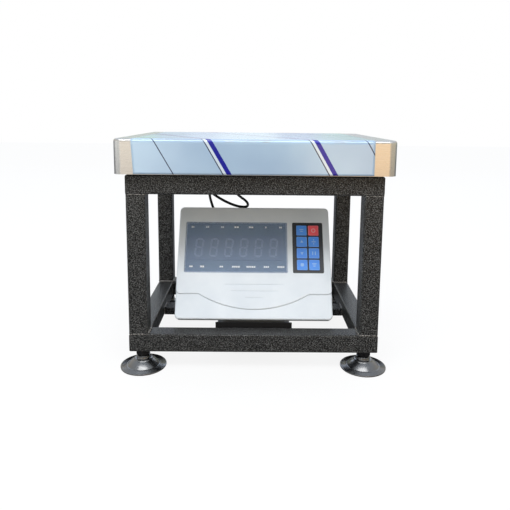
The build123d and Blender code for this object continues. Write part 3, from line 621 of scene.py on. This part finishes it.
# Screw feet: round pads with concentric ribs on the rim, a cone at 45 degrees and two rings round the collar,
# on threaded studs
foot = {
    "radius": 34.5,
    "underEdge": [(-1.2, 0.0), (-0.3, 0.3), (0.0, 1.0)],  # from the radius, and height
    "edge": 0.4,
    "rimTop": 2.4,
    "ribs": 8,
    "ribHeight": 0.3,
    "ribSteps": 4,
    "ribsInFromEdge": 1.0,
    "ribsOutFromCone": 0.8,
    "ribSlope": 0.9,
    "coneRadius": 24.5,
    "coneFoot": 3.3,
    "coneTop": 12.5,
    "coneBulge": 0.35,
    "coneSteps": 12,
    "shoulderRadius": 14.0,
    "shoulderSteps": 6,
    "collarRadius": 10.4,
    "collarFoot": 14.0,
    "collarTop": 19.0,
    "ringAt": [1.3, 3.2],
    "ringShape": [(-0.35, -0.7), (0.0, -0.25), (0.0, 0.25), (-0.35, 0.7)],
    "socket": 6.05,
    "socketFloor": 4.0,
    "sides": 96,
    "sharpAngle": 50,
}
stud = {
    "radius": 6.0,
    "depth": 0.95,
    "pitch": 1.75,
    "crest": 1.35,  # with flank, the shape of the ridge over one turn
    "flank": 3.6,
    "leadIn": 1.4,  # the thread runs out over this length at both ends
    "leadStart": 0.35,
    "start": 4.1,
    "length": 44.0,
    "sides": 36,
    "rowsPerTurn": 6,
    "sharpAngle": 40,
}
footPlaces = {
    "front_left": (-168, -124), "front_right": (168, -124), "rear_left": (-168, 124), "rear_right": (168, 124),
}


def footProfile(facts):
    radius, cone, shoulder, collar = (facts[key] for key in (
        "radius", "coneRadius", "shoulderRadius", "collarRadius"))
    profile = [(radius + inward, height) for inward, height in facts["underEdge"]]
    profile += [(radius, facts["rimTop"] - facts["edge"]), (radius - facts["edge"], facts["rimTop"])]
    outer, inner = radius - facts["ribsInFromEdge"], cone + facts["ribsOutFromCone"]
    steps = facts["ribs"] * facts["ribSteps"]
    for i in range(steps + 1):
        share = i / steps
        slope = (facts["coneFoot"] - facts["rimTop"]) * share * facts["ribSlope"]
        rib = facts["ribHeight"] * 0.5 * (1 - math.cos(2 * math.pi * facts["ribs"] * share))
        profile.append((outer + (inner - outer) * share, facts["rimTop"] + slope + rib))
    for i in range(facts["coneSteps"] + 1):
        share = i / facts["coneSteps"]
        bulge = facts["coneBulge"] * math.sin(math.pi * share)
        climb = (facts["coneTop"] - facts["coneFoot"]) * share
        profile.append((cone - (cone - shoulder) * share + bulge, facts["coneFoot"] + climb + bulge))
    for i in range(1, facts["shoulderSteps"] + 1):  # the shoulder turns over towards the collar
        angle = math.pi / 2 * i / facts["shoulderSteps"]
        climb = (facts["collarFoot"] - facts["coneTop"]) * math.sin(angle)
        profile.append((shoulder - (shoulder - collar) * (1 - math.cos(angle)), facts["coneTop"] + climb))
    for middle in facts["ringAt"]:
        profile += [(collar + inward, facts["collarFoot"] + middle + up) for inward, up in facts["ringShape"]]
    profile += [(collar, facts["collarTop"] - facts["edge"]), (collar - facts["edge"], facts["collarTop"])]
    profile += [(facts["socket"], facts["collarTop"]), (facts["socket"], facts["socketFloor"])]
    return profile


def threadRadius(facts, height, angle):
    turn = (height / facts["pitch"] - angle / (2 * math.pi)) % 1.0
    ridge = min(1.0, max(0.0, facts["crest"] - abs(turn - 0.5) * facts["flank"]))
    end = min(height, facts["length"] - height)
    chamfer = min(1.0, facts["leadStart"] + end / facts["leadIn"])
    return facts["radius"] - facts["depth"] * (1 - ridge * chamfer)


def threadRings(facts):
    rows = int(facts["length"] / facts["pitch"] * facts["rowsPerTurn"])
    rings = []
    for row in range(rows + 1):
        height = facts["length"] * row / rows
        ring = []
        for i in range(facts["sides"]):
            angle = 2 * math.pi * i / facts["sides"]
            radius = threadRadius(facts, height, angle)
            ring.append((radius * math.cos(angle), radius * math.sin(angle), height + facts["start"]))
        rings.append(ring)
    return rings


def makeFeet():
    for tag, (x, y) in footPlaces.items():
        place = Matrix.Translation((x, y, 0))
        pad = bmesh.new()
        addRings(pad, [circle(radius, height, foot["sides"]) for radius, height in footProfile(foot)])
        padPiece = putPiece("footPad_" + tag, pad, "pad_" + tag, footNylon, ["foot_pad_" + tag],
                            place=place)
        sharpenEdges(padPiece, foot["sharpAngle"])
        rod = bmesh.new()
        addRings(rod, threadRings(stud))
        rodPiece = putPiece("footStud_" + tag, rod, "stud_" + tag, blackSteel,
                            ["foot_stud_" + tag], place=place)
        sharpenEdges(rodPiece, stud["sharpAngle"])


makeFeet()
print("feet turned")


# Weld beads: rippled fillets where the tubes meet, and fine seams on the flush outer faces, all in the lighter
# pooled enamel whose pale tones are a painted highlight. Each bead has a seed of its own, so no two ripple alike
weld = {
    "ripple": 2.2,
    "rippleSteps": 4,
    "leastSteps": 6,
    "sides": 10,
    "rippleHeight": 0.14,
    "uneven": 0.18,
    "unevenSpan": 6,
    "wander": 0.25,
    "wanderSpan": 5,
    "wanderSeed": 9.5,
    "endSize": 0.35,  # a bead starts and ends thin
    "endSteps": 3,
    "corner": {"radius": 2.0, "trim": 2.5, "seedStep": 4.7},
    "seam": {"radius": 0.6, "trim": 2.0},
    # ends of each bead as (y, z) on the side rails, for the crossbar
    "crossbar": {"radius": 1.6, "seedStep": 3.1,
                 "lines": [((10, 41), (34, 41)), ((8, 30), (8, 40)), ((36, 30), (36, 40))]},
    "beam": {"radius": 1.7, "seedStep": 1.3, "x": (-66, -38), "z": (270, 292)},
    "carrier": {"radius": 1.4, "seedStep": 1.1, "x": 120, "y": (-20, 20), "z": (325, 341)},
}
stand = {"outerX": 186, "outerY": 138, "innerX": 158, "innerY": 110, "low": 56, "high": 267}


def addBead(shape, start, end, radius, seed):
    start, end = Vector(start), Vector(end)
    direction = (end - start).normalized()
    side = direction.orthogonal().normalized()
    other = direction.cross(side)
    count = max(weld["leastSteps"], int((end - start).length / weld["ripple"] * weld["rippleSteps"]))
    rings = []
    for step in range(count + 1):
        share = step / count
        swell = 1 + weld["rippleHeight"] * math.sin(2 * math.pi * step / weld["rippleSteps"])
        swell += weld["uneven"] * noise.noise((share * weld["unevenSpan"], seed, 0.5))
        cap = min(1.0, weld["endSize"] + min(share, 1 - share) * count / weld["endSteps"])
        wander = noise.noise((share * weld["wanderSpan"], seed + weld["wanderSeed"], 0.1))
        centre = start.lerp(end, share) + side * (weld["wander"] * radius * wander)
        ring = []
        for i in range(weld["sides"]):
            angle = 2 * math.pi * i / weld["sides"]
            ring.append(centre + (side * math.cos(angle) + other * math.sin(angle)) * radius * swell * cap)
        rings.append(ring)
    addRings(shape, rings)


def addCornerBeads(beads, seams, sx, sy, level, seed):
    outerX, outerY = sx * stand["outerX"], sy * stand["outerY"]
    innerX, innerY = sx * stand["innerX"], sy * stand["innerY"]
    radius, trim = weld["corner"]["radius"], weld["corner"]["trim"]
    addBead(beads, (innerX, innerY, level), (innerX, outerY - sy * trim, level), radius, seed)
    addBead(beads, (innerX, innerY, level), (outerX - sx * trim, innerY, level), radius, seed + 1)
    radius, trim = weld["seam"]["radius"], weld["seam"]["trim"]
    addBead(seams, (innerX, outerY, level), (outerX - sx * trim, outerY, level), radius, seed + 2)
    addBead(seams, (outerX, innerY, level), (outerX, outerY - sy * trim, level), radius, seed + 3)


def makeWelds():
    beads, seams, arms = bmesh.new(), bmesh.new(), bmesh.new()
    crossbar, beam, carrier = weld["crossbar"], weld["beam"], weld["carrier"]
    seed = 1.0
    for sx in (-1, 1):
        for sy in (-1, 1):
            for level in (stand["low"], stand["high"]):
                addCornerBeads(beads, seams, sx, sy, level, seed)
                seed += weld["corner"]["seedStep"]
    for sx in (-1, 1):
        x = sx * stand["innerX"]
        for order, (start, end) in enumerate(crossbar["lines"]):
            addBead(beads, (x, *start), (x, *end), crossbar["radius"], seed + order)
        seed += crossbar["seedStep"]
    for sy in (-1, 1):
        y = sy * stand["innerY"]
        for x in beam["x"]:
            addBead(beads, (x, y, beam["z"][0]), (x, y, beam["z"][1]), beam["radius"], seed)
            seed += beam["seedStep"]
    for sx in (-1, 1):
        x = sx * carrier["x"]
        for y in carrier["y"]:
            addBead(arms, (x, y, carrier["z"][0]), (x, y, carrier["z"][1]), carrier["radius"], seed)
            seed += carrier["seedStep"]
    putPiece("weldFillets", beads, "frame", weldEnamelPaintedHighlight)
    putPiece("weldSeams", seams, "frame", weldEnamelPaintedHighlight)
    putPiece("weldFilletsCarrier", arms, "pan_carrier", weldEnamelPaintedHighlight)


makeWelds()
print("welds laid")


# Load cell: the block bends as the pan goes down, so its solid is copied and cut across at even steps between its
# two clamped ends; it rides on no body, and no blend is made here
loadCell = {"node": "load_cell", "clamp": 39.0, "cuts": 12, "join": 0.001, "sharpAngle": 30}


def makeLoadCell(facts):
    source = nodes[facts["node"]]
    shape = bmesh.new()
    shape.from_mesh(source.data)
    shape.transform(Matrix.Scale(1000, 4) @ source.matrix_world)
    bmesh.ops.remove_doubles(shape, verts=shape.verts, dist=facts["join"])
    for index in range(1, facts["cuts"]):
        x = facts["clamp"] * (2 * index / facts["cuts"] - 1)
        everything = shape.verts[:] + shape.edges[:] + shape.faces[:]
        bmesh.ops.bisect_plane(shape, geom=everything, plane_co=(x, 0, 0), plane_no=(1, 0, 0))
    piece = putPiece("bendingLoadCell", shape, None, cellAluminium, [facts["node"]])
    sharpenEdges(piece, facts["sharpAngle"])
    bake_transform(piece)


makeLoadCell(loadCell)
print("load cell set")


# Protective film: one sheet over the front skirt, the top and the rear skirt, held by its own tack, with
# slight ripples and side edges that curl off a little
def filmSection(share):
    # place and outward direction on the pan's outline, by the share of the film from its front hem
    skirt = pan["top"] - pan["bottom"] - film["hem"] - pan["bend"]
    arc = math.pi / 2 * pan["bend"]
    flat = 2 * (pan["halfDepth"] - pan["bend"])
    total = 2 * skirt + 2 * arc + flat
    distance = share * total
    mirrored = distance > total / 2
    run = total - distance if mirrored else distance
    if run < skirt:
        y, z, ny, nz = -pan["halfDepth"], pan["bottom"] + film["hem"] + run, -1.0, 0.0
    elif run < skirt + arc:
        angle = (run - skirt) / pan["bend"]
        ny, nz = -math.cos(angle), math.sin(angle)
        y = -pan["halfDepth"] + pan["bend"] + pan["bend"] * ny
        z = pan["top"] - pan["bend"] + pan["bend"] * nz
    else:
        y, z, ny, nz = -pan["halfDepth"] + pan["bend"] + (run - skirt - arc), pan["top"], 0.0, 1.0
    side = -1 if mirrored else 1
    return side * y, z, side * ny, nz, total


def filmLift(x, along, column, onTop):
    # how far the film stands off the steel there
    wave = noise.noise((x / film["ripple"][0], along / film["ripple"][1], 2.0))
    wave += film["crinkleShare"] * noise.noise((x / film["crinkle"][0], along / film["crinkle"][1], 5.0))
    fromSide = min(column, film["columns"] - column) / film["curlColumns"]
    uneven = 0.5 + noise.noise((along / film["curlLength"], 7.0, column))
    curl = max(0.0, film["curl"] * max(0.0, 1 - fromSide) * uneven)
    return film["lift"] + film["rippleHeight"] * (1 + wave) + curl * (film["curlOnTop"] if onTop else 1.0)


def makeFilm():
    shape = bmesh.new()
    grid = []
    skirtHeight = pan["top"] - pan["bottom"]
    for row in range(film["rows"] + 1):
        share = row / film["rows"]
        y, z, ny, nz, total = filmSection(share)
        edgeDrop = min(1.0, max(0.0, (pan["top"] - z) / skirtHeight))
        left = film["leftTop"] + (film["leftBottom"] - film["leftTop"]) * edgeDrop
        line = []
        for column in range(film["columns"] + 1):
            x = left + (film["right"] - left) * column / film["columns"]
            out = filmLift(x, share * total, column, nz > 0.5)
            line.append(shape.verts.new((x, y + ny * out, z + nz * min(out, film["topLimit"]))))
        grid.append(line)
    for lower, upper in zip(grid, grid[1:]):
        for i in range(film["columns"]):
            shape.faces.new([lower[i], lower[i + 1], upper[i + 1], upper[i]])
    piece = putPiece("protectiveFilm", shape, "pan", printedFilm, ["protective_film"])
    solid = piece.modifiers.new("thickness", "SOLIDIFY")
    solid.thickness = mm(film["thickness"])
    solid.offset = -1


makeFilm()
print("film laid")


# Indicator face: every place on it is x across, y up the slope and h above the face
housing = {"faceY": -110.0, "faceZ": 69.0, "lean": math.radians(28.9)}
faceFrame = Matrix((
    (1, 0, 0, 0),
    (0, math.sin(housing["lean"]), -math.cos(housing["lean"]), housing["faceY"]),
    (0, math.cos(housing["lean"]), math.sin(housing["lean"]), housing["faceZ"]),
    (0, 0, 0, 1),
))


def addPlate(shape, outline, low, high):
    addRings(shape, [[(x, y, h) for x, y in outline] for h in (low, high)])


def roundedBar(x, y, width, height, corner, steps=4):
    points = []
    for cx, cy, start in ((1, 1, 0), (-1, 1, 90), (-1, -1, 180), (1, -1, 270)):
        for i in range(steps + 1):
            angle = math.radians(start + 90 * i / steps)
            points.append((
                x + cx * (width / 2 - corner) + corner * math.cos(angle),
                y + cy * (height / 2 - corner) + corner * math.sin(angle),
            ))
    return points


def addHollowPlate(shape, outer, inner, low, high):
    levels = [[shape.verts.new((point[0], point[1], h)) for point in line] for line, h in (
        (outer, low), (outer, high), (inner, high), (inner, low))]
    for here, after in zip(levels, levels[1:] + levels[:1]):
        joinRings(shape, here, after)


def addSquareBand(shape, x, y, size, band, low, high, corner, leastCorner=0.2):
    outer = roundedBar(x, y, size, size, corner)
    inner = roundedBar(x, y, size - 2 * band, size - 2 * band, max(corner - band, leastCorner))
    addHollowPlate(shape, outer, inner, low, high)


# Marks on the window: plain broken bars stand where a maker prints words. Each has its middle and its width
window = {
    "x": -29.1,
    "y": 114.4,
    "topY": 147.7,
    "topRow": [(-100.6, 5), (-76.8, 6), (-52.2, 5), (-29.2, 8), (-5.4, 8), (18.8, 3), (43.1, 5)],
    "bottomY": 82.0,
    "bottomRow": [(-100.9, 6), (-83.1, 7), (-52.5, 6), (-29.1, 13), (-5.1, 15), (19.7, 9), (42.9, 12)],
    "barPitch": 3.2,
    "barGap": 0.8,
    "barHeight": 2.6,
    "barCorner": 0.5,
    "inkThickness": 0.06,
}


def makeWindowMarks(facts):
    marks = bmesh.new()
    for row, y in (("topRow", facts["topY"]), ("bottomRow", facts["bottomY"])):
        for x, width in facts[row]:
            count = max(1, round(width / facts["barPitch"]))
            pitch = width / count
            for i in range(count):
                centre = x - width / 2 + pitch * (i + 0.5)
                bar = roundedBar(centre, y, pitch - facts["barGap"], facts["barHeight"], facts["barCorner"])
                addPlate(marks, bar, 0.0, facts["inkThickness"])
    putPiece("windowMarks", marks, "indicator", windowPrint, smooth=False, place=faceFrame)


# Unlit digits: each has seven hollow bars with pointed ends
digits = {
    "count": 6,
    "pitch": 24.15,
    "width": 15.6,
    "height": 31.2,
    "stroke": 3.0,
    "slant": 6.0,
    "sideInset": 2.0,
    "pointInset": 0.2,
    "gap": 0.6,
    "front": -3.9,
    "proud": 0.12,
    "sunk": 0.38,
    "hollow": 0.3,  # each unlit bar shows as a light rim round a darker middle
}


def digitBars():
    # middle, length and turn of each bar
    wide = digits["width"] - digits["stroke"] - digits["sideInset"]
    half = (digits["height"] - digits["stroke"]) / 2
    bars = [(0, step * half, wide, 0) for step in (-1, 0, 1)]
    return bars + [(sx * wide / 2, sy * half / 2, half, 90) for sx in (-1, 1) for sy in (-1, 1)]


def makeDigits():
    shape = bmesh.new()
    point = digits["stroke"] / 2 - digits["pointInset"]
    slant = Matrix.Rotation(math.radians(-digits["slant"]), 3, "Z")
    low, high = digits["front"] - digits["sunk"], digits["front"] + digits["proud"]
    for index in range(digits["count"]):
        fromMiddle = (index - (digits["count"] - 1) / 2) * digits["pitch"]
        centre = Vector((window["x"] + fromMiddle, window["y"], 0))
        for x, y, length, turn in digitBars():
            half = length / 2 - digits["gap"]
            outline = [(-half, 0), (-half + point, point), (half - point, point), (half, 0),
                       (half - point, -point), (-half + point, -point)]
            spin = Matrix.Rotation(math.radians(turn), 3, "Z")
            rings = []
            for share in (1.0, digits["hollow"]):
                narrow = (half - point + point * share) / half
                corners = [Vector((px * narrow, py * share, 0)) for px, py in outline]
                rings.append([centre + slant @ (Vector((x, y, 0)) + spin @ corner) for corner in corners])
            addHollowPlate(shape, rings[0], rings[1], low, high)
    putPiece("unlitDigits", shape, "indicator", digitBar, smooth=False, place=faceFrame)


# Prints on the keys: a thin frame on each, and in it a plain shape, round the key's own middle
keys = {
    "x": 87.0,
    "y": 114.4,
    "columns": 2,
    "rows": 4,
    "pitchX": 19.4,
    "pitchY": 19.05,
    "frame": 15.7,
    "frameBand": 0.25,
    "frameCorner": 1.2,
    "redKey": 2,
    "ring": 7.0,
    "ringBand": 1.1,
    "ringCorner": 3.49,
    "barRounding": 0.3,
    "triangle": 3.0,
    "inkFoot": 0.48,
    "inkTop": 0.55,
}


def symbolBar(x, y, width, height):
    return roundedBar(x, y, width, height, min(width, height) * keys["barRounding"])


def symbolTriangle(turn):
    angles = [math.radians(turn + corner) for corner in (90, 210, 330)]
    return [(keys["triangle"] * math.cos(angle), keys["triangle"] * math.sin(angle)) for angle in angles]


keySymbols = {
    1: [symbolBar(0, 1.6, 7, 1.3), symbolBar(0, -1.6, 4.5, 1.3)],
    3: [symbolTriangle(0)],
    4: [symbolBar(0, 0, 7, 1.4), symbolBar(0, 3.2, 1.4, 2.6), symbolBar(0, -3.2, 1.4, 2.6)],
    5: [symbolTriangle(180)],
    6: [symbolBar(-2.2, 0, 1.6, 6), symbolBar(2.2, 0, 1.6, 6)],
    7: [symbolBar(0, 0, 5.4, 5.4)],
    8: [symbolBar(0, 2.2, 7, 1.2), symbolBar(0, 0, 5.4, 1.2), symbolBar(0, -2.2, 3.8, 1.2)],
}


def makeKeyPrints():
    low, high = keys["inkFoot"], keys["inkTop"]
    for index in range(1, keys["rows"] * keys["columns"] + 1):
        row, column = divmod(index - 1, keys["columns"])
        x = keys["x"] + (column - (keys["columns"] - 1) / 2) * keys["pitchX"]
        y = keys["y"] + ((keys["rows"] - 1) / 2 - row) * keys["pitchY"]
        shape = bmesh.new()
        addSquareBand(shape, x, y, keys["frame"], keys["frameBand"], low, high, keys["frameCorner"])
        ink, slotName = keyPrint, "key_blue"
        if index == keys["redKey"]:
            ink, slotName = redPrint, "key_red"
            addSquareBand(shape, x, y, keys["ring"], keys["ringBand"], low, high, keys["ringCorner"])
        for outline in keySymbols.get(index, []):
            addPlate(shape, [(x + px, y + py) for px, py in outline], low, high)
        putPiece("keyPrint_" + str(index), shape, "key_" + str(index), ink,
                 smooth=False, place=faceFrame)


makeWindowMarks(window)
makeDigits()
makeKeyPrints()
print("indicator face printed")


# Floor and light: pale paper, a sky that is bright overhead and warm, dim and patchy near the horizon (its
# stops run from 0 there to 1 overhead), and soft lights
studio = {
    "floor": "#fcfcfc",
    "floorBounce": "#808082",  # it throws less light back at the object than white paper would
    "floorGlow": 0.86,  # keeps the shadow on it faint
    "floorHalf": 6.0,
    "floorDrop": 0.2,
    "backdrop": "#ffffff",
    "sky": [(0.0, "#7d7468"), (0.22, "#c3bcaf"), (0.6, "#ccd0d5"), (0.95, "#cdd6e2")],
    "patches": [(0.4, "#a3c08e"), (0.5, "#a39fb8"), (0.6, "#eef5f1")],
    "patchScale": 5.0,
    "patchShare": 0.9,
    "patchesUpTo": 0.3,
    "skyStrength": 1.4,
    # name, place, aim, width and height in metres, watts, colour
    "lights": [
        ("topLight", (-0.1, -1.2, 1.95), (0, 0, 0.15), 2.0, 0.6, 21, "#ffffff"),
        ("rearCard", (0.0, 2.3, 1.35), (0, 0, 0.1), 2.8, 0.6, 6.5, "#b4d2ff"),
        ("leftCard", (-2.0, -1.2, 0.3), (0, 0, 0.3), 3.2, 0.8, 6.5, "#ffffff"),
        ("rightCard", (2.0, -1.2, 0.3), (0, 0, 0.3), 3.2, 0.8, 4.5, "#ffe0b0"),
        ("warmCard", (0.56, -1.9, 0.16), (0, 0, 0.25), 0.62, 0.6, 2.6, "#ffd094"),
        ("paleCard", (-0.66, -1.9, 0.22), (0, 0, 0.25), 0.62, 0.6, 1.9, "#fff0da"),
    ],
}


def makeSky(look):
    world = bpy.data.worlds.new("studio")
    bpy.context.scene.world = world
    world.use_nodes = True
    tree = world.node_tree
    direction = addNode(tree, "TexCoord").outputs["Generated"]
    height = addNode(tree, "SeparateXYZ", {}, {0: direction}).outputs["Z"]
    ramp = addNode(tree, "ValToRGB", {}, {"Fac": height})
    setRamp(ramp, look["sky"])
    cloud = addNode(tree, "TexNoise", {"Scale": look["patchScale"], "Detail": 2}, {"Vector": direction})
    hues = addNode(tree, "ValToRGB", {}, {"Fac": cloud.outputs["Fac"]})
    setRamp(hues, look["patches"])
    near = addNode(tree, "MapRange", {
        "From Min": 0.0, "From Max": look["patchesUpTo"], "To Min": look["patchShare"], "To Max": 0.0,
    }, {"Value": height})
    mixed = addNode(tree, "Mix", {"data_type": "RGBA"},
                    {0: near.outputs["Result"], 6: ramp.outputs["Color"], 7: hues.outputs["Color"]})
    sky = addNode(tree, "Background", {"Strength": look["skyStrength"]}, {"Color": mixed.outputs[2]})
    paper = tree.nodes["Background"]  # what the camera itself sees behind the object
    paper.inputs["Color"].default_value = linearColour(look["backdrop"])
    seen = addNode(tree, "LightPath").outputs["Is Camera Ray"]
    both = addNode(tree, "MixShader", {}, {0: seen, 1: sky.outputs[0], 2: paper.outputs[0]})
    feed(tree, tree.nodes["World Output"], {"Surface": both.outputs[0]})


def makePaper(look):
    material = bpy.data.materials.new("paleFloor")
    material.use_nodes = True
    tree = material.node_tree
    tree.nodes.remove(tree.nodes["Principled BSDF"])
    shade = addNode(tree, "BsdfDiffuse", {"Color": linearColour(look["floor"])})
    glow = addNode(tree, "Emission", {"Color": linearColour(look["backdrop"]), "Strength": 1.0})
    paper = addNode(tree, "MixShader", {0: look["floorGlow"]}, {1: shade.outputs[0], 2: glow.outputs[0]})
    bounce = addNode(tree, "BsdfDiffuse", {"Color": linearColour(look["floorBounce"])})
    seen = addNode(tree, "LightPath").outputs["Is Camera Ray"]
    both = addNode(tree, "MixShader", {}, {0: seen, 1: bounce.outputs[0], 2: paper.outputs[0]})
    feed(tree, tree.nodes["Material Output"], {"Surface": both.outputs[0]})
    return material


def makeStudio(look):
    makeSky(look)
    shape = bmesh.new()
    bmesh.ops.create_grid(shape, x_segments=1, y_segments=1, size=look["floorHalf"])
    mesh = bpy.data.meshes.new("floor")
    shape.to_mesh(mesh)
    shape.free()
    floor = putInScene("floor", mesh)
    floor.location = (0, 0, -mm(look["floorDrop"]))
    mesh.materials.append(makePaper(look))
    for name, place, aim, width, height, power, code in look["lights"]:
        data = bpy.data.lights.new(name, "AREA")
        data.shape = "RECTANGLE"
        data.size = width
        data.size_y = height
        data.energy = power
        data.color = linearColour(code)[:3]
        light = putInScene(name, data)
        light.location = place
        light.rotation_euler = (Vector(aim) - Vector(place)).to_track_quat("-Z", "Y").to_euler()
    bpy.context.scene.view_settings.view_transform = "Standard"


makeStudio(studio)
print("studio lit")
